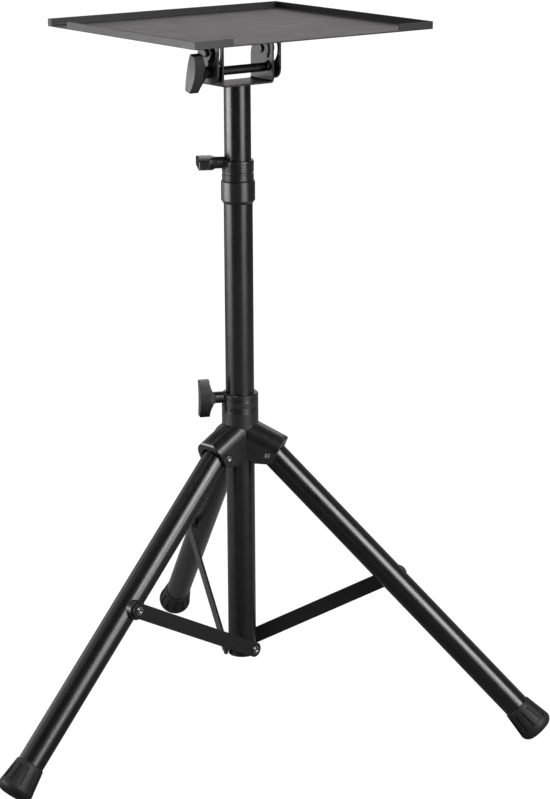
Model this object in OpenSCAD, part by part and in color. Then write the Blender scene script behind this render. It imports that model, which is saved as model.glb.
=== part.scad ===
// Folding tripod stand with a tilting tray on a telescopic pole.
// The origin is on the ground under the main tube's axis, Z is up,
// and X runs along the tray's front edge.

/* [Main tube] */
// Outside diameter of the main tube
main_d = 38; // [34:0.5:42]
// Wall of the main tube
main_wall = 1.2; // [1:0.1:1.6]
// Length of the main tube
main_len = 652; // [560:1:760]
// Radial gap where one tube slides in or on another
slide_gap = 0.3; // [0.2:0.05:0.4]

/* [Riser tube] */
// Wall of the riser tube
riser_wall = 1.5; // [1:0.1:2.5]
// Length of the riser tube
riser_len = 520; // [460:1:560]
// Length of the riser tube that shows above the collar
riser_out = 98.7; // [90:0.1:140]
// Length of the glide plug below the riser tube
glide_len = 12; // [8:1:20]

/* [Legs] */
// Outside diameter of a leg
leg_d = 35; // [30:0.5:38]
// Wall of a leg
leg_wall = 1.2; // [1:0.1:2]
// Angle of an open leg from the vertical
leg_angle = 45.3; // [40:0.1:50]
// Distance from a leg's pivot to the mouth of its foot
leg_len = 476; // [440:1:520]
// Length of a leg above its pivot
leg_end = 7; // [5:0.5:9]
// Heading of the first leg about the tube
first_leg = 189.5; // [180:0.5:200]
// Diameter of a leg's pivot pin
leg_pin_d = 8; // [6:0.5:10]

/* [Feet] */
// Greatest diameter of a rubber foot
foot_d = 47.4; // [44:0.2:52]
// Length of a rubber foot
foot_len = 45; // [40:0.5:52]
// Radius round the bottom of a foot
foot_round = 10; // [6:0.5:11]
// Lip of the foot proud of the leg at its mouth
foot_lip = 1.5; // [1:0.1:2.5]
// Number of grooves round a foot
foot_grooves = 12; // [8:1:14]

/* [Braces] */
// Distance along a leg from its pivot to its brace
clip_at = 238; // [220:1:260]
// Height of the leg pivots above the brace screws
brace_drop = 282; // [270:1:290]
// Width of a brace
brace_w = 20.5; // [18:0.5:22]
// Thickness of a brace
brace_t = 3; // [2:0.5:3.5]
// Thickness of the pad on the leg behind a brace
clip_t = 4.5; // [3.5:0.5:6]
// Diameter of the pin in each end of a brace
brace_pin_d = 6; // [5:0.5:7]

/* [Hub] */
// Wall of the hub between the main tube and a leg's chamber
hub_wall = 3.7; // [3:0.1:5]
// Height of the hub's sleeve above the leg pivots
hub_rise = 80; // [74:1:90]
// Diameter of the hub's sleeve
sleeve_d = 49; // [47:0.5:53]
// Thickness of each cheek beside a leg
cheek = 5.3; // [4:0.1:7]
// Height of the hub's clamp screw above the leg pivots
hub_screw_up = 74; // [71:0.5:76]

/* [Collar] */
// Height of the ribbed sleeve of the collar
collar_h = 27; // [24:0.5:32]
// Wall of the ribbed sleeve of the collar
collar_wall = 3.2; // [2.5:0.1:4]
// Height of the band below the ribbed sleeve
band_h = 30; // [24:0.5:36]
// Wall of the band round the main tube
band_wall = 3.3; // [2.8:0.1:4.5]

/* [Knobs] */
// Length of a knob's wing
wing_len = 50; // [44:1:54]
// Width of a knob's wing at its middle
wing_w = 18; // [15:0.5:20]
// Depth of a knob from its neck to its face
wing_depth = 19; // [17:0.5:24]
// Set-back of a wing's tips from its neck
wing_scoop = 5; // [4:0.5:8]
// Diameter of a knob's neck
neck_d = 15.5; // [12:0.5:16]
// Length of a knob's neck
neck_len = 8.5; // [6:0.5:12]
// Heading of the hub's clamp knob about the tube
hub_heading = 156.5; // [150:0.5:165]
// Heading of the collar's clamp knob about the tube
collar_heading = 151; // [140:0.5:165]
// Diameter of the clamp screws
screw_d = 8; // [6:0.5:9]

/* [Tray] */
// Length of the tray along its front edge
tray_l = 365; // [320:1:420]
// Depth of the tray from front to back
tray_b = 336.5; // [300:0.5:380]
// Thickness of the tray's steel sheet
tray_t = 1.5; // [1:0.1:2.5]
// Height of the rims over the tray's underside
rim_h = 9.8; // [8:0.1:16]
// Length of the front rim at each front corner
lip_l = 55; // [40:1:80]
// Width of the gap in the left rim
rim_gap = 38; // [24:1:50]
// Length of the tab behind that gap
rim_tab = 9; // [6:0.5:14]
// Sideways place of the tray from the pole's axis
tray_x = 2.2; // [1:0.1:3]
// Forward place of the tray's middle from the pole's axis
tray_y = 1.6; // [0:0.1:4]

/* [Tilt bracket] */
// Width of the yoke outside its ears
yoke_w = 81; // [76:0.5:84]
// Depth of the yoke
yoke_b = 48; // [46:0.5:54]
// Forward place of the yoke's middle from the pole's axis
yoke_y = 1.5; // [0:0.5:2]
// Thickness of the yoke and of the tray's bracket
plate_t = 2.5; // [2:0.25:3]
// Height of the tilt pivot over the yoke's underside
yoke_rise = 42.3; // [41:0.1:46]
// Drop of the tilt pivot below the tray
tray_drop = 29; // [27:0.5:34]
// Distance of the clamp bolt from the tilt pivot
bolt_reach = 24.2; // [23.8:0.1:26]
// Lean of the clamp bolt before the pivot when the tray is level
bolt_lean = 7; // [4:0.5:9]
// Greatest tilt of the tray
tray_tilt = 35; // [25:1:35]
// Width of the tray's bracket outside its ears
bracket_w = 100; // [96:0.5:104]
// Depth of the ears of the tray's bracket
ear_b = 44.5; // [42:0.5:48]
// Diameter of the tilt pivot screws
pivot_d = 6; // [5:0.5:7]
// Diameter of the spacer tube on the clamp bolt
spacer_d = 11.5; // [10:0.5:13]

/* [Hidden] */
$fn = 64;
run_gap = 0.1;
face_gap = 0.25;
cut = 1;

// Radii that fit one another
main_r = main_d / 2;
main_in = main_r - main_wall;
riser_r = main_in - slide_gap;
riser_in = riser_r - riser_wall;
leg_r = leg_d / 2;
foot_r = foot_d / 2;

// The leg's upper end turns in a round chamber of the hub
leg_gap = 0.7;
chamber_r = norm([leg_end, leg_r]) + 1.15;
hub_bore_r = main_r + slide_gap;
pivot_r = hub_bore_r + hub_wall + chamber_r;
arm_half = leg_r + leg_gap + cheek;
roof_slope = 25.5;
nose_r = 7;
nose_x = chamber_r - 8;
nose_y = 16.5;

// The feet touch the ground at Z = 0
foot_rest = (foot_len - foot_round) * cos(leg_angle) + (foot_r - foot_round) * sin(leg_angle) + foot_round;
pivot_z = leg_len * cos(leg_angle) + foot_rest;

// Braces lie in a plane beside the tube and the leg
brace_in = leg_r + clip_t + 2 * face_gap;
brace_out = brace_in + brace_t;
brace_z = pivot_z - brace_drop;
brace_run = pivot_r + clip_at * sin(leg_angle);
brace_rise = brace_drop - clip_at * cos(leg_angle);
brace_len = norm([brace_run, brace_rise]);
brace_slope = atan2(brace_rise, brace_run);
head_h = 2.6;
head_d = 12;
shoulder_d = 12;

// Heights up the pole
plug_flange = 2.5;
main_z = brace_z - brace_w / 2 + plug_flange;
main_top = main_z + main_len;
band_lap = 3.5;
band_top = main_top + band_lap;
band_z = band_top - band_h;
collar_top = band_top + collar_h;
collar_screw_z = collar_top - 3.5;
yoke_z = collar_top + riser_out;
tilt_z = yoke_z + yoke_rise;
tray_z = tilt_z + tray_drop;
riser_z = yoke_z - riser_len;

// Boss of the collar and of the hub that a clamp screw runs in
boss_out = 4;
hub_boss_r = sleeve_d / 2 + boss_out;
collar_r = riser_r + slide_gap + collar_wall;
collar_boss_r = collar_r + boss_out;

// The bolt's place below the tilt pivot, across the bracket
bolt_y = -bolt_reach * sin(bolt_lean);
bolt_z = -bolt_reach * cos(bolt_lean);
yoke_half = yoke_w / 2;
ear_left = tray_x - bracket_w / 2;
ear_right = tray_x + bracket_w / 2;

LEGS = ["left", "right", "rear"];

// Turns to a leg's own plane: X outwards, Y across the leg
module leg_plane(k) {
    rotate([0, 0, first_leg + 120 * k])
        children();
}

// Sets X along an open leg, from its pivot
module leg_axis(k) {
    leg_plane(k)
        translate([pivot_r, 0, pivot_z])
            rotate([0, 90 - leg_angle, 0])
                children();
}

// Sets X along a brace, from its screw on the tube
module brace_axis(k) {
    leg_plane(k)
        translate([0, 0, brace_z])
            rotate([0, -brace_slope, 0])
                children();
}

// Sets X along a clamp screw, from the pole's axis
module screw_axis(z, heading) {
    translate([0, 0, z])
        rotate([0, 0, heading])
            children();
}

// Round bar along X from x0 to x1
module bar_x(r, x0, x1) {
    translate([x0, 0, 0])
        rotate([0, 90, 0])
            cylinder(r = r, h = x1 - x0);
}

// Round bar along Y from y0 to y1
module bar_y(r, y0, y1) {
    translate([0, y0, 0])
        rotate([-90, 0, 0])
            cylinder(r = r, h = y1 - y0);
}

// Upright tube
module tube(r_out, r_in, h) {
    difference() {
        cylinder(r = r_out, h = h);
        translate([0, 0, -cut])
            cylinder(r = r_in, h = h + 2 * cut);
    }
}

// Hexagon of a bolt's head or nut along X
module hex_x(across, x0, x1) {
    translate([x0, 0, 0])
        rotate([0, 90, 0])
            cylinder(d = across / cos(30), h = x1 - x0, $fn = 6);
}

// Profile of a ribbed sleeve: rings between two heights
function rings(r, z0, z1, pitch, depth) =
    let (n = floor((z1 - z0) / pitch))
    [for (i = [0:n - 1]) each [
        [r - depth, z0 + i * pitch],
        [r - depth, z0 + (i + 0.35) * pitch],
        [r, z0 + (i + 0.5) * pitch],
        [r, z0 + (i + 0.85) * pitch]
    ]];

// Side outline of a knob's wing: X along the knob, Y along the wing
module wing_side() {
    half = wing_len / 2;
    face = neck_len + wing_depth;
    scoop_r = (pow(half - neck_d / 2, 2) + pow(wing_scoop, 2)) / (2 * wing_scoop);
    dish_r = 190;
    round_r = 2;
    difference() {
        union() {
            translate([neck_len - 3, round_r - half])
                square([face - neck_len + 3, wing_len - 2 * round_r]);
            translate([neck_len - 3, -half])
                square([face - neck_len + 3 - round_r, wing_len]);
            for (side = [-1, 1])
                translate([face - round_r, side * (half - round_r)])
                    circle(r = round_r);
        }
        for (side = [-1, 1])
            translate([neck_len + wing_scoop - scoop_r, side * half])
                circle(r = scoop_r);
        translate([face + dish_r - 1.4, 0])
            circle(r = dish_r);
    }
}

// Wing knob along X: its neck starts at x = 0 and its wing lies along Z
module knob() {
    half = wing_len / 2;
    thin = (wing_w - 9) / 2;
    lens_r = (pow(half, 2) + pow(thin, 2)) / (2 * thin);
    face = neck_len + wing_depth;
    difference() {
        union() {
            bar_x(neck_d / 2, 0, neck_len + 8);
            intersection() {
                rotate([90, 0, 0])
                    linear_extrude(wing_w + 2 * cut, center = true)
                        wing_side();
                linear_extrude(wing_len + 2 * cut, center = true)
                    polygon([
                        [0, -neck_d / 2 - 0.3],
                        [neck_len, -neck_d / 2 - 0.3],
                        [neck_len + 4, -wing_w / 2],
                        [face + cut, -wing_w / 2],
                        [face + cut, wing_w / 2],
                        [neck_len + 4, wing_w / 2],
                        [neck_len, neck_d / 2 + 0.3],
                        [0, neck_d / 2 + 0.3]
                    ]);
                rotate([0, 90, 0])
                    linear_extrude(face + cut)
                        intersection() {
                            translate([0, lens_r - wing_w / 2])
                                circle(r = lens_r);
                            translate([0, wing_w / 2 - lens_r])
                                circle(r = lens_r);
                        }
            }
        }
        bar_x(screw_d / 2, -cut, neck_len + 6);
    }
}

// Clamp screw along X from the tube that it presses to inside its knob
module clamp_screw(r_tube, r_knob) {
    bar_x(screw_d / 2, r_tube + slide_gap, r_knob + neck_len + 6);
}

module main_tube() {
    color("#1c1c1d")
        difference() {
            translate([0, 0, main_z])
                tube(main_r, main_in, main_len);
            for (k = [0:2])
                brace_axis(k)
                    bar_y(shoulder_d / 2, 0, main_r + cut);
        }
}

module tube_plug() {
    plug_h = brace_w + 8;
    color("#161616")
        difference() {
            union() {
                translate([0, 0, main_z])
                    cylinder(r = main_in, h = plug_h);
                translate([0, 0, main_z - plug_flange])
                    cylinder(r = main_r, h = plug_flange);
            }
            for (k = [0:2])
                brace_axis(k) {
                    bar_y(shoulder_d / 2, main_in - 4, main_r + cut);
                    bar_y(brace_pin_d / 2, main_in - 10, main_r);
                }
        }
}

module collar() {
    bore = riser_r + slide_gap;
    color("#1d1d1e")
        difference() {
            union() {
                rotate_extrude()
                    polygon(concat(
                        [[bore - 1, band_top], [collar_r - 0.6, band_top]],
                        rings(collar_r, band_top + 0.5, band_top + 9, 2.1, 0.5),
                        [[collar_r - 1, band_top + 9.4], [collar_r - 1, band_top + 10.6]],
                        rings(collar_r, band_top + 11, collar_top - 3, 2.1, 0.5),
                        [[collar_r, collar_top - 3], [collar_r, collar_top - 1],
                         [collar_r - 1, collar_top], [bore - 1, collar_top]]
                    ));
                screw_axis(collar_screw_z, collar_heading)
                    bar_x(neck_d / 2, 0, collar_boss_r);
            }
            translate([0, 0, band_top - cut])
                cylinder(r = bore, h = collar_h + 10);
            screw_axis(collar_screw_z, collar_heading)
                bar_x(screw_d / 2 + run_gap, 0, collar_boss_r + cut);
        }
}

module collar_band() {
    r = main_r + band_wall;
    chamfer = band_wall;
    color("#202021")
        difference() {
            rotate_extrude()
                polygon([
                    [main_r - 2, band_z],
                    [main_r + 0.4, band_z],
                    [r - 0.8, band_z + chamfer],
                    [r, band_z + chamfer + 1],
                    [r, band_top - 1],
                    [r - 0.8, band_top],
                    [main_r - 2, band_top]
                ]);
            translate([0, 0, band_z - cut])
                cylinder(r = main_r, h = main_top - band_z + cut);
            translate([0, 0, main_top - cut])
                cylinder(r = riser_r + slide_gap, h = band_lap + 2 * cut);
        }
}

module collar_knob() {
    color("#191919")
        screw_axis(collar_screw_z, collar_heading)
            translate([collar_boss_r + face_gap, 0, 0])
                rotate([90, 0, 0])
                    knob();
}

module collar_screw() {
    color("#9a9a9a")
        screw_axis(collar_screw_z, collar_heading)
            clamp_screw(riser_r, collar_boss_r + face_gap);
}

module glide_plug() {
    color("#141414") {
        translate([0, 0, riser_z - glide_len - face_gap])
            cylinder(r = main_in - run_gap, h = glide_len);
        translate([0, 0, riser_z - face_gap])
            cylinder(r = riser_in - run_gap, h = 18);
    }
}

module riser_tube() {
    color("#1c1c1d")
        translate([0, 0, riser_z])
            tube(riser_r, riser_in, riser_len);
}

// Slot along an arc about the tilt pivot
module arc_slot(r, half, a0, a1) {
    far = 3 * r;
    intersection() {
        difference() {
            circle(r = r + half);
            circle(r = r - half);
        }
        polygon([
            [0, 0],
            [far * cos(a0), far * sin(a0)],
            [far * cos((a0 + a1) / 2), far * sin((a0 + a1) / 2)],
            [far * cos(a1), far * sin(a1)]
        ]);
    }
    for (a = [a0, a1])
        translate([r * cos(a), r * sin(a)])
            circle(r = half);
}

// Outline of a yoke ear about the tilt pivot
module yoke_ear_outline() {
    half = yoke_b / 2;
    shoulder = tray_drop - plate_t - 12;
    round_z = shoulder - half;
    slot_start = 270 - bolt_lean;
    difference() {
        translate([-yoke_y, 0])
            union() {
                translate([-half, -yoke_rise])
                    square([yoke_b, yoke_rise + round_z]);
                translate([0, round_z])
                    circle(r = half);
                translate([-half, round_z])
                    square([half, half - 6]);
                translate([6 - half, round_z])
                    square([half - 6, half]);
                translate([6 - half, shoulder - 6])
                    circle(r = 6);
            }
        circle(d = pivot_d);
        arc_slot(bolt_reach, screw_d / 2 + 0.3, slot_start, slot_start - tray_tilt);
        arc_slot(18, 2.5, 150, 208);
    }
}

// Outline of an ear of the tray's bracket about the tilt pivot
module tray_ear_outline() {
    half = ear_b / 2;
    round_r = 13.5;
    low = bolt_z - 14;
    difference() {
        translate([bolt_y, 0])
            union() {
                translate([-half, low + round_r])
                    square([ear_b, tray_drop - low - round_r]);
                translate([round_r - half, low])
                    square([ear_b - 2 * round_r, round_r]);
                for (side = [-1, 1])
                    translate([side * (half - round_r), low + round_r])
                        circle(r = round_r);
            }
        circle(d = pivot_d + 2 * run_gap);
        translate([bolt_y, bolt_z])
            circle(d = screw_d);
        arc_slot(15.2, 5.2, 145, 235);
    }
}

// Sheet ear across X, its outline about the tilt pivot
module ear_plate(x) {
    translate([x, 0, tilt_z])
        rotate([90, 0, 90])
            linear_extrude(plate_t)
                children();
}

// Upright channel outline with rounded lower corners, its underside at Y = 0
module channel(half, low, round_r) {
    translate([-half, low + round_r])
        square([2 * half, 80]);
    translate([round_r - half, low])
        square([2 * (half - round_r), 80]);
    for (side = [-1, 1])
        translate([side * (half - round_r), low + round_r])
            circle(r = round_r);
}

module yoke() {
    color("#212122")
        intersection() {
            translate([0, 0, yoke_z])
                rotate([90, 0, 0])
                    linear_extrude(4 * yoke_b, center = true)
                        difference() {
                            channel(yoke_half, 0, 2 * plate_t);
                            channel(yoke_half - plate_t, plate_t, plate_t);
                        }
            translate([0, 0, tilt_z])
                rotate([90, 0, 90])
                    linear_extrude(yoke_w + 2 * cut, center = true)
                        yoke_ear_outline();
        }
}

// Shouldered pivot screw from inside a yoke ear out through the tray's ear
module pivot_screw(ear_in) {
    color("#8f8f8f")
        translate([0, 0, tilt_z]) {
            bar_x(5.4, yoke_half - plate_t - 2.8, yoke_half - plate_t);
            bar_x(pivot_d / 2, yoke_half - plate_t - 1, ear_in + plate_t + 3);
            bar_x(6, yoke_half, ear_in - face_gap);
            hex_x(9, ear_in + plate_t + face_gap, ear_in + plate_t + 4.5);
        }
}

module tilt_pivot_left() {
    mirror([1, 0, 0])
        pivot_screw(-ear_left - plate_t);
}

module tilt_pivot_right() {
    pivot_screw(ear_right - plate_t);
}

// The tray's sheet rim along X, from its outer face inwards
module rim(l) {
    cube([l, tray_t, rim_h]);
}

module tray() {
    color("#6d6a6c")
        translate([tray_x - tray_l / 2, -tray_y - tray_b / 2, tray_z]) {
            cube([tray_l, tray_b, tray_t]);
            rim(lip_l);
            translate([tray_l - lip_l, 0, 0])
                rim(lip_l);
            translate([0, tray_b - tray_t, 0])
                rim(tray_l);
            translate([tray_l, 0, 0])
                rotate([0, 0, 90])
                    rim(tray_b);
            translate([tray_t, 0, 0])
                rotate([0, 0, 90])
                    rim(tray_b - rim_gap - rim_tab);
            translate([tray_t, tray_b - rim_tab, 0])
                rotate([0, 0, 90])
                    rim(rim_tab);
        }
}

module tray_bracket() {
    color("#1f1f20") {
        ear_plate(ear_left)
            tray_ear_outline();
        ear_plate(ear_right - plate_t)
            tray_ear_outline();
        translate([ear_left, bolt_y - ear_b / 2, tray_z - plate_t])
            cube([bracket_w, ear_b, plate_t]);
    }
}

// Sets the children on the clamp bolt's axis
module bolt_axis() {
    translate([0, bolt_y, tilt_z + bolt_z])
        children();
}

// Clamp bolt with its fixed washers between the ears
module tilt_bolt() {
    color("#2a2a2b")
        bolt_axis() {
            bar_x(screw_d / 2, ear_left - neck_len - 6, ear_right + 1);
            hex_x(13, ear_right, ear_right + 5.5);
            bar_x(7.5, yoke_half + face_gap, ear_right - plate_t);
            bar_x(7.5, ear_left + plate_t, -yoke_half - face_gap);
        }
}

module tilt_spacer() {
    in_ears = yoke_half - plate_t - face_gap;
    color("#121212")
        bolt_axis()
            difference() {
                bar_x(spacer_d / 2, -in_ears, in_ears);
                bar_x(screw_d / 2, -in_ears - cut, in_ears + cut);
            }
}

module tilt_knob() {
    color("#191919")
        bolt_axis()
            translate([ear_left - face_gap, 0, 0])
                rotate([-14, 0, 180])
                    difference() {
                        knob();
                        bar_x(screw_d / 2 + run_gap, -cut, neck_len + 7);
                    }
}

// Side outline of one hub arm about the leg pivot: X outwards, Y up
module arm_outline() {
    inner = pivot_r - 8;
    eave = [nose_x + nose_r * sin(roof_slope), nose_y + nose_r * cos(roof_slope)];
    polygon([
        [-inner, eave.y + (eave.x + inner) * tan(roof_slope)],
        eave,
        [nose_x + nose_r, nose_y],
        [nose_x - 5, -10.5],
        [0, -12],
        [-inner, -12]
    ]);
    translate([nose_x, nose_y])
        circle(r = nose_r);
}

// Arched section of an arm across its roof, its top at Y = 0
module roof_section() {
    round_r = 21;
    translate([-arm_half, -150])
        square([2 * arm_half, 150 - round_r]);
    translate([round_r - arm_half, -150])
        square([2 * (arm_half - round_r), 150]);
    for (side = [-1, 1])
        translate([side * (arm_half - round_r), -round_r])
            circle(r = round_r);
}

// One arm of the hub about its leg pivot
module arm() {
    intersection() {
        rotate([90, 0, 0])
            linear_extrude(2 * arm_half + 2 * cut, center = true)
                arm_outline();
        translate([nose_x, 0, nose_y])
            rotate([0, roof_slope, 0])
                translate([0, 0, nose_r])
                    rotate([90, 0, 90])
                        linear_extrude(200, center = true)
                            roof_section();
    }
}

// Hollow of an arm about the leg pivot: chamber, mouth and the way that the leg folds
module arm_hollow() {
    half = leg_r + leg_gap;
    bar_y(chamber_r, -8, 8);
    for (side = [0, 180])
        rotate([0, 0, side])
            translate([0, 8, 0])
                rotate([-90, 0, 0])
                    cylinder(r1 = chamber_r, r2 = chamber_r - 8, h = half - 8);
    rotate([0, 90 - leg_angle, 0])
        bar_x(half + 0.3, 0, 90);
    rotate([90, 0, 0])
        linear_extrude(2 * half, center = true)
            polygon([
                [-half - 0.3, 0],
                [0, 0],
                [90 * sin(leg_angle), -90 * cos(leg_angle)],
                [90 * sin(leg_angle), -120],
                [-half - 0.3, -120]
            ]);
}

module hub() {
    sleeve_r = sleeve_d / 2;
    hub_top = pivot_z + hub_rise;
    color("#191919")
        difference() {
            union() {
                rotate_extrude()
                    polygon(concat(
                        [[hub_bore_r - 2, pivot_z + 12], [sleeve_r, pivot_z + 12],
                         [sleeve_r, hub_top - 25]],
                        rings(sleeve_r, hub_top - 24.5, hub_top - 16.4, 2, 0.6),
                        [[sleeve_r, hub_top - 16.4], [sleeve_r, hub_top - 10]],
                        rings(sleeve_r, hub_top - 9.5, hub_top - 3.4, 2, 0.6),
                        [[sleeve_r, hub_top - 3], [sleeve_r, hub_top - 1.5],
                         [sleeve_r - 1.5, hub_top], [hub_bore_r - 2, hub_top]]
                    ));
                screw_axis(pivot_z + hub_screw_up, hub_heading)
                    bar_x(neck_d / 2, 0, hub_boss_r);
                for (k = [0:2])
                    leg_plane(k)
                        translate([pivot_r, 0, pivot_z])
                            arm();
            }
            for (k = [0:2])
                leg_plane(k)
                    translate([pivot_r, 0, pivot_z]) {
                        arm_hollow();
                        bar_y(leg_pin_d / 2, -arm_half - cut, arm_half + cut);
                        for (side = [-1, 1])
                            translate([0, side * arm_half, 0])
                                bar_y(leg_pin_d / 2 + 1, -1.5, 1.5);
                    }
            translate([0, 0, pivot_z - 60])
                cylinder(r = hub_bore_r, h = hub_rise + 120);
            translate([0, 0, pivot_z - 30])
                cylinder(r1 = 42, r2 = 29, h = 24);
            screw_axis(pivot_z + hub_screw_up, hub_heading)
                bar_x(screw_d / 2 + run_gap, 0, hub_boss_r + cut);
        }
}

module hub_knob() {
    color("#191919")
        screw_axis(pivot_z + hub_screw_up, hub_heading)
            translate([hub_boss_r + face_gap, 0, 0])
                knob();
}

module hub_screw() {
    color("#9a9a9a")
        screw_axis(pivot_z + hub_screw_up, hub_heading)
            clamp_screw(main_r, hub_boss_r + face_gap);
}

module leg(k) {
    tail = leg_len + foot_len - 15;
    color("#1c1c1d")
        leg_axis(k)
            difference() {
                bar_x(leg_r, -leg_end, tail);
                bar_x(leg_r - leg_wall, -leg_end - cut, tail + cut);
                bar_y(leg_pin_d / 2 + run_gap, -leg_r - cut, leg_r + cut);
            }
}

module leg_pin(k) {
    color("#777777")
        leg_axis(k)
            difference() {
                bar_y(leg_pin_d / 2, 0.6 - arm_half, arm_half - 0.6);
                for (side = [-1, 1])
                    translate([0, side * (arm_half - 0.6), 0])
                        rotate([90, 0, 0])
                            cylinder(d = 5, h = 4, center = true, $fn = 6);
            }
}

module foot(k) {
    mouth_r = leg_r + foot_lip;
    wide_at = foot_len - foot_round;
    taper = atan2(foot_r - mouth_r, wide_at);
    groove_from = 7;
    groove_to = wide_at - 4;
    color("#232323")
        leg_axis(k)
            translate([leg_len, 0, 0])
                rotate([0, 90, 0])
                    difference() {
                        rotate_extrude()
                            union() {
                                polygon([
                                    [0, 0],
                                    [mouth_r - 0.8, 0],
                                    [mouth_r, 0.8],
                                    [foot_r, wide_at],
                                    [foot_r - foot_round, foot_len],
                                    [0, foot_len]
                                ]);
                                translate([foot_r - foot_round, wide_at])
                                    intersection() {
                                        circle(r = foot_round);
                                        square(foot_round);
                                    }
                            }
                        translate([0, 0, -cut])
                            cylinder(r = leg_r, h = foot_len - 15 + cut);
                        for (i = [0:foot_grooves - 1])
                            rotate([0, 0, (i + 0.5) * 360 / foot_grooves])
                                translate([mouth_r, 0, 0])
                                    rotate([0, taper, 0])
                                        translate([-1.8, 0, 0])
                                            rotate([90, 0, 90])
                                                linear_extrude(12)
                                                    polygon([
                                                        [-1.2, groove_from],
                                                        [1.2, groove_from],
                                                        [3.2, groove_to],
                                                        [-3.2, groove_to]
                                                    ]);
                    }
}

// Round pad on the side of the leg that the brace lies against
module leg_pad(k) {
    pad_r = 13;
    color("#232324")
        leg_axis(k)
            translate([clip_at, 0, 0])
                difference() {
                    bar_y(pad_r, leg_r - 6, leg_r + clip_t);
                    translate([-clip_at, 0, 0])
                        bar_x(leg_r, clip_at - 2 * pad_r, clip_at + 2 * pad_r);
                }
}

module brace(k) {
    color("#202021")
        brace_axis(k)
            difference() {
                union() {
                    for (x = [0, brace_len])
                        translate([x, 0, 0])
                            bar_y(brace_w / 2, brace_in, brace_out);
                    translate([0, brace_in, -brace_w / 2])
                        cube([brace_len, brace_t, brace_w]);
                }
                bar_y(brace_pin_d / 2 + run_gap, brace_in - cut, brace_out + cut);
                translate([brace_len, 0, 0])
                    bar_y(brace_pin_d / 2, brace_in - cut, brace_out + cut);
            }
}

// Pin along Y from y0 with a flanged head on y1 that has a hexagon socket
module socket_pin(y0, y1) {
    difference() {
        union() {
            bar_y(brace_pin_d / 2, y0, y1 + head_h);
            bar_y(head_d / 2, y1, y1 + 1);
            bar_y(head_d / 2 - 1.8, y1, y1 + head_h);
        }
        translate([0, y1 + head_h, 0])
            rotate([90, 0, 0])
                cylinder(d = 4.6, h = 3, center = true, $fn = 6);
    }
}

// Shouldered screw in the tube's plug that a brace turns on
module brace_screw(k) {
    color("#6f6f6f")
        brace_axis(k) {
            socket_pin(main_in - 10, brace_out + face_gap);
            bar_y(shoulder_d / 2, main_in - 4, brace_in - face_gap);
        }
}

module brace_rivet(k) {
    color("#6f6f6f")
        brace_axis(k)
            translate([brace_len, 0, 0])
                socket_pin(brace_in, brace_out);
}

main_tube();
tube_plug();
collar();
collar_band();
collar_knob();
collar_screw();
glide_plug();
riser_tube();
yoke();
tilt_pivot_left();
tilt_pivot_right();
tray();
tray_bracket();
tilt_bolt();
tilt_spacer();
tilt_knob();
hub();
hub_knob();
hub_screw();
for (k = [0:2]) {
    leg(k);
    foot(k);
    leg_pin(k);
    leg_pad(k);
    brace(k);
    brace_screw(k);
    brace_rivet(k);
}
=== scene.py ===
import math

import bpy
from mathutils import Matrix, Vector

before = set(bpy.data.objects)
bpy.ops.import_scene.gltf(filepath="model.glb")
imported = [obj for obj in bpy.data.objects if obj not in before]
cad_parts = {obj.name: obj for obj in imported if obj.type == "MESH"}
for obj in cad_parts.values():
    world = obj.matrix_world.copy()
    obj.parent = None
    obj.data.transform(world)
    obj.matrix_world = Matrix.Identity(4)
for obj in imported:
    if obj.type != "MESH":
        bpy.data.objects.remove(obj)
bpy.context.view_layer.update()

# Lengths are metres in the part's own frame, where z is up and the tray's front faces -y
SIDES = ("left", "right", "rear")

# The heading along which the photograph looks at the pole, turned from +y towards +x
PHOTO_HEADING = math.radians(35.355)

# Sockets of the Mix node when it mixes colours
MIX_A, MIX_B, MIX_RESULT = 6, 7, 2


def seen(right, depth, up):
    """A place given as the photograph sees it: to the right, away and up from the pole's foot."""
    s, c = math.sin(PHOTO_HEADING), math.cos(PHOTO_HEADING)
    return Vector((right * c + depth * s, -right * s + depth * c, up))


def noise(tree, coords, scale, detail, rough=0.55):
    """Noise over the given coordinates, with about scale features a metre."""
    node = tree.nodes.new("ShaderNodeTexNoise")
    node.inputs["Scale"].default_value = scale
    node.inputs["Detail"].default_value = detail
    node.inputs["Roughness"].default_value = rough
    tree.links.new(coords, node.inputs["Vector"])
    return node.outputs["Fac"]


def ramp(tree, value, lo, hi, at):
    """Maps a value that runs between the two ends of at to one between lo and hi."""
    node = tree.nodes.new("ShaderNodeMapRange")
    node.inputs["From Min"].default_value, node.inputs["From Max"].default_value = at
    node.inputs["To Min"].default_value = lo
    node.inputs["To Max"].default_value = hi
    tree.links.new(value, node.inputs["Value"])
    return node.outputs["Result"]


# The middle part of a noise's values, stretched to the full swing of what it drives
NOISE_SWING = (0.3, 0.7)
# How much finer the gloss mottles than the tone
GLOSS_FINER = 3.1
COAT_ROUGHNESS = 0.16
BEVEL_SAMPLES = 8


def mottled_tone(tree, coords, scale, dark, light):
    mix = tree.nodes.new("ShaderNodeMix")
    mix.data_type = "RGBA"
    mix.inputs[MIX_A].default_value = (*dark, 1)
    mix.inputs[MIX_B].default_value = (*light, 1)
    tone = noise(tree, coords, scale, detail=5.0)
    tree.links.new(ramp(tree, tone, 0.0, 1.0, NOISE_SWING), mix.inputs[0])
    return mix.outputs[MIX_RESULT]


def mottled_gloss(tree, coords, scale, rough, swing):
    gloss = noise(tree, coords, scale, detail=3.0)
    return ramp(tree, gloss, rough - swing, rough + swing, NOISE_SWING)


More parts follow.
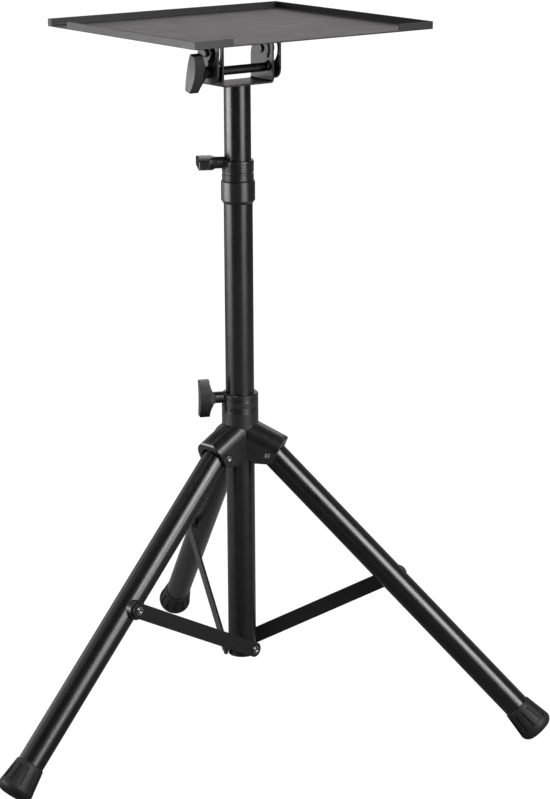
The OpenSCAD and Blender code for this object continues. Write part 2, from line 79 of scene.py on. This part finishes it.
def grained_normal(tree, coords, grain, depth, strength, edge):
    """The surface's normal with fine grain on it, and with edges rounded by a small radius."""
    bevel = tree.nodes.new("ShaderNodeBevel")
    bevel.samples = BEVEL_SAMPLES
    bevel.inputs["Radius"].default_value = edge
    bump = tree.nodes.new("ShaderNodeBump")
    bump.inputs["Strength"].default_value = strength
    bump.inputs["Distance"].default_value = depth
    tree.links.new(noise(tree, coords, grain, detail=3.0, rough=0.6), bump.inputs["Height"])
    tree.links.new(bevel.outputs["Normal"], bump.inputs["Normal"])
    return bump.outputs["Normal"]


def finish_material(name, dark, light, rough, grain, depth, strength, mottle=26.0,
                    gloss_swing=0.03, edge=0.0006, metallic=0.0, specular=0.5, coat=0.0):
    """A moulded or coated finish that mottles faintly between two tones and in its gloss.
    The grain's scale and the mottle's are features a metre."""
    material = bpy.data.materials.new(name)
    material.use_nodes = True
    tree = material.node_tree
    shader = tree.nodes["Principled BSDF"]
    coords = tree.nodes.new("ShaderNodeTexCoord").outputs["Object"]
    tree.links.new(mottled_tone(tree, coords, mottle, dark, light), shader.inputs["Base Color"])
    gloss = mottled_gloss(tree, coords, GLOSS_FINER * mottle, rough, gloss_swing)
    tree.links.new(gloss, shader.inputs["Roughness"])
    tree.links.new(grained_normal(tree, coords, grain, depth, strength, edge), shader.inputs["Normal"])
    shader.inputs["Metallic"].default_value = metallic
    shader.inputs["Specular IOR Level"].default_value = specular
    shader.inputs["Coat Weight"].default_value = coat
    shader.inputs["Coat Roughness"].default_value = COAT_ROUGHNESS
    return material


tube_paint = finish_material("powder_coat_tube",
                             dark=(0.004, 0.004, 0.0043), light=(0.0062, 0.0062, 0.0065),
                             rough=0.26, grain=900.0, depth=0.00012, strength=0.035, edge=0.0001)
plate_paint = finish_material("powder_coat_plate",
                              dark=(0.0045, 0.0045, 0.0048), light=(0.007, 0.007, 0.0073),
                              rough=0.36, grain=1000.0, depth=0.0001, strength=0.1)
tray_paint = finish_material("powder_coat_tray",
                             dark=(0.0062, 0.0058, 0.006), light=(0.0088, 0.0083, 0.0086),
                             rough=0.44, grain=1300.0, depth=0.0001, strength=0.3,
                             mottle=9.0, gloss_swing=0.025, edge=0.0013)
plastic = finish_material("moulded_plastic",
                          dark=(0.005, 0.005, 0.005), light=(0.0078, 0.0078, 0.0078),
                          rough=0.3, grain=1500.0, depth=0.00006, strength=0.1,
                          edge=0.0009, coat=0.25)
rubber = finish_material("foot_rubber",
                         dark=(0.007, 0.007, 0.007), light=(0.012, 0.012, 0.0117),
                         rough=0.55, grain=1800.0, depth=0.0001, strength=0.4, specular=0.28)
zinc = finish_material("zinc_screw",
                       dark=(0.42, 0.42, 0.43), light=(0.5, 0.5, 0.5),
                       rough=0.3, grain=2500.0, depth=0.00004, strength=0.2,
                       edge=0.0004, metallic=1.0)
dark_steel = finish_material("blackened_screw",
                             dark=(0.3, 0.3, 0.305), light=(0.4, 0.4, 0.4),
                             rough=0.22, grain=2500.0, depth=0.00004, strength=0.12, metallic=1.0)


def on_each_side(*starts):
    """The names of pieces that there are three of, such as foot_left."""
    return [start + "_" + side for start in starts for side in SIDES]


def dress(material, names):
    for name in names:
        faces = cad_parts[name].data
        faces.materials.clear()
        faces.materials.append(material)


dress(tube_paint, ["main_tube", "riser_tube"] + on_each_side("leg"))
dress(plate_paint, ["yoke", "tray_bracket", "tilt_bolt", "tilt_pivot_left", "tilt_pivot_right"])
dress(plate_paint, on_each_side("brace", "leg_pad"))
dress(tray_paint, ["tray"])
dress(plastic, ["hub", "hub_knob", "tube_plug", "glide_plug", "collar", "collar_band", "collar_knob"])
dress(plastic, ["tilt_knob", "tilt_spacer"])
dress(rubber, on_each_side("foot"))
dress(zinc, ["collar_screw", "hub_screw"])
dress(dark_steel, on_each_side("leg_pin", "brace_screw", "brace_rivet"))


# A little over 1, so that it is pure white in the picture
WHITE_STRENGTH = 1.05


def white_to_camera(tree, other, out):
    """Shows the photograph's white where the camera looks past the stand, and the other shader
    to the light and to the stand's own reflections."""
    white = tree.nodes.new("ShaderNodeEmission")
    white.inputs["Strength"].default_value = WHITE_STRENGTH
    mix = tree.nodes.new("ShaderNodeMixShader")
    path = tree.nodes.new("ShaderNodeLightPath")
    tree.links.new(path.outputs["Is Camera Ray"], mix.inputs["Fac"])
    tree.links.new(other, mix.inputs[1])
    tree.links.new(white.outputs["Emission"], mix.inputs[2])
    tree.links.new(mix.outputs["Shader"], out.inputs["Surface"])


def measure(tree, operation, coords, reference):
    """One number from a place or a direction, such as its distance from a reference place."""
    node = tree.nodes.new("ShaderNodeVectorMath")
    node.operation = operation
    node.inputs[1].default_value = reference
    tree.links.new(tree.nodes.new("ShaderNodeTexCoord").outputs[coords], node.inputs[0])
    return node.outputs["Value"]


# Painted shade and painted light in the floor's base colour as the stand reflects it: the shaded tone at a
# spot in front, the lit tone beside and behind, and how far from the spot each one is reached
FLOOR_PAINTED_SHADE, FLOOR_PAINTED_LIGHT = 0.07, 0.3
PAINTED_SHADE_REACH = (0.25, 1.0)


def floor_material():
    """Base colour with painted shade in front of the stand and painted light beside and behind it."""
    material = bpy.data.materials.new("floor_painted_light")
    material.use_nodes = True
    tree = material.node_tree
    shader = tree.nodes["Principled BSDF"]
    shader.inputs["Roughness"].default_value = 1.0
    distance = measure(tree, "DISTANCE", "Object", seen(0, -0.55, 0))
    # Painted light and shade: the base colour is dark near a spot in front of the stand and pale beside and
    # behind it, standing in for shade in front and pools of light by the softboxes
    tree.links.new(ramp(tree, distance, FLOOR_PAINTED_SHADE, FLOOR_PAINTED_LIGHT, PAINTED_SHADE_REACH), shader.inputs["Base Color"])
    white_to_camera(tree, shader.outputs["BSDF"], tree.nodes["Material Output"])
    return material


# The studio's brightness behind the camera and behind the stand, and the directions between which
# it rises, as cosines from straight away
WORLD_DARK, WORLD_BRIGHT = 0.0, 7.0
WORLD_RISE = (-0.2, 0.9)


def studio_world():
    """Dark behind the camera and bright behind the stand."""
    world = bpy.data.worlds.new("studio")
    world.use_nodes = True
    tree = world.node_tree
    background = tree.nodes["Background"]
    away = measure(tree, "DOT_PRODUCT", "Generated", seen(0, 1, 0))
    tree.links.new(ramp(tree, away, WORLD_DARK, WORLD_BRIGHT, WORLD_RISE), background.inputs["Strength"])
    white_to_camera(tree, background.outputs["Background"], tree.nodes["World Output"])
    return world


FLOOR_SIZE = 16
bpy.ops.mesh.primitive_plane_add(size=FLOOR_SIZE)
floor = bpy.context.active_object
floor.name = "floor"
floor.data.materials.append(floor_material())
bpy.context.scene.world = studio_world()

# The photograph's greys are shown as they are, with no film curve
bpy.context.scene.view_settings.view_transform = "Standard"

# Where the softboxes stand, as the photograph sees it, to the right and away
LEFT = (-2.2, -0.35)
BEHIND_LEFT = (-2.1, 1.15)
RIGHT = (1.75, -1.8)
BACK = (0.25, 2.6)
OVERHEAD = (-0.35, 0.0)
LIGHTS_AIM_AT = seen(0, 0, 0.8)


def softbox(name, wide, high, spot, up, watts, tone=(1, 1, 1)):
    """A soft light that the camera doesn't see, turned to the stand."""
    data = bpy.data.lights.new(name, "AREA")
    data.shape = "RECTANGLE"
    data.size, data.size_y = wide, high
    data.energy = watts
    data.color = tone
    lamp = bpy.data.objects.new(name, data)
    bpy.context.collection.objects.link(lamp)
    lamp.location = seen(*spot, up)
    lamp.rotation_mode = "QUATERNION"
    lamp.rotation_quaternion = (LIGHTS_AIM_AT - lamp.location).to_track_quat("-Z", "Y")
    lamp.visible_camera = False


# The tubes mirror the boxes one above the other, so their strengths set how the streaks fade
softbox("left_box_floor", 1.8, 0.4, LEFT, up=0.22, watts=7)
softbox("left_box_low", 1.8, 0.45, LEFT, up=0.64, watts=34)
softbox("left_box_high", 1.8, 1.7, LEFT, up=1.75, watts=6.5)
softbox("left_box_behind", 1.5, 1.6, BEHIND_LEFT, up=0.9, watts=8)
softbox("right_box_floor", 1.5, 0.4, RIGHT, up=0.22, watts=3.5)
softbox("right_box_low", 1.5, 0.45, RIGHT, up=0.64, watts=19)
softbox("right_box_high", 1.5, 1.5, RIGHT, up=1.9, watts=92)
softbox("back_box", 2.2, 1.2, BACK, up=1.65, watts=5, tone=(1, 0.91, 0.945))
softbox("top_box", 1.8, 1.8, OVERHEAD, up=3.2, watts=30)

# The camera as it was fitted to the photograph
PAN = PHOTO_HEADING + math.radians(0.907)
PITCH = math.radians(15.429)
ROLL = math.radians(0.293)
CAMERA_AT = Vector((-1.7081, -2.4076, 1.2625))
SENSOR_WIDTH_MM = 36.0
LENS_MM = 103.17


def photo_camera():
    forward = Vector((math.sin(PAN) * math.cos(PITCH), math.cos(PAN) * math.cos(PITCH), -math.sin(PITCH)))
    level_right = forward.cross(Vector((0, 0, 1))).normalized()
    level_down = forward.cross(level_right)
    right = math.cos(ROLL) * level_right + math.sin(ROLL) * level_down
    down = -math.sin(ROLL) * level_right + math.cos(ROLL) * level_down
    data = bpy.data.cameras.new("photo_camera")
    data.sensor_width = SENSOR_WIDTH_MM
    data.lens = LENS_MM
    data.clip_start, data.clip_end = 0.05, 100.0
    camera = bpy.data.objects.new("photo_camera", data)
    bpy.context.collection.objects.link(camera)
    turn = Matrix((right, -down, -forward)).transposed()
    camera.matrix_world = Matrix.Translation(CAMERA_AT) @ turn.to_4x4()
    return camera


bpy.context.scene.camera = photo_camera()
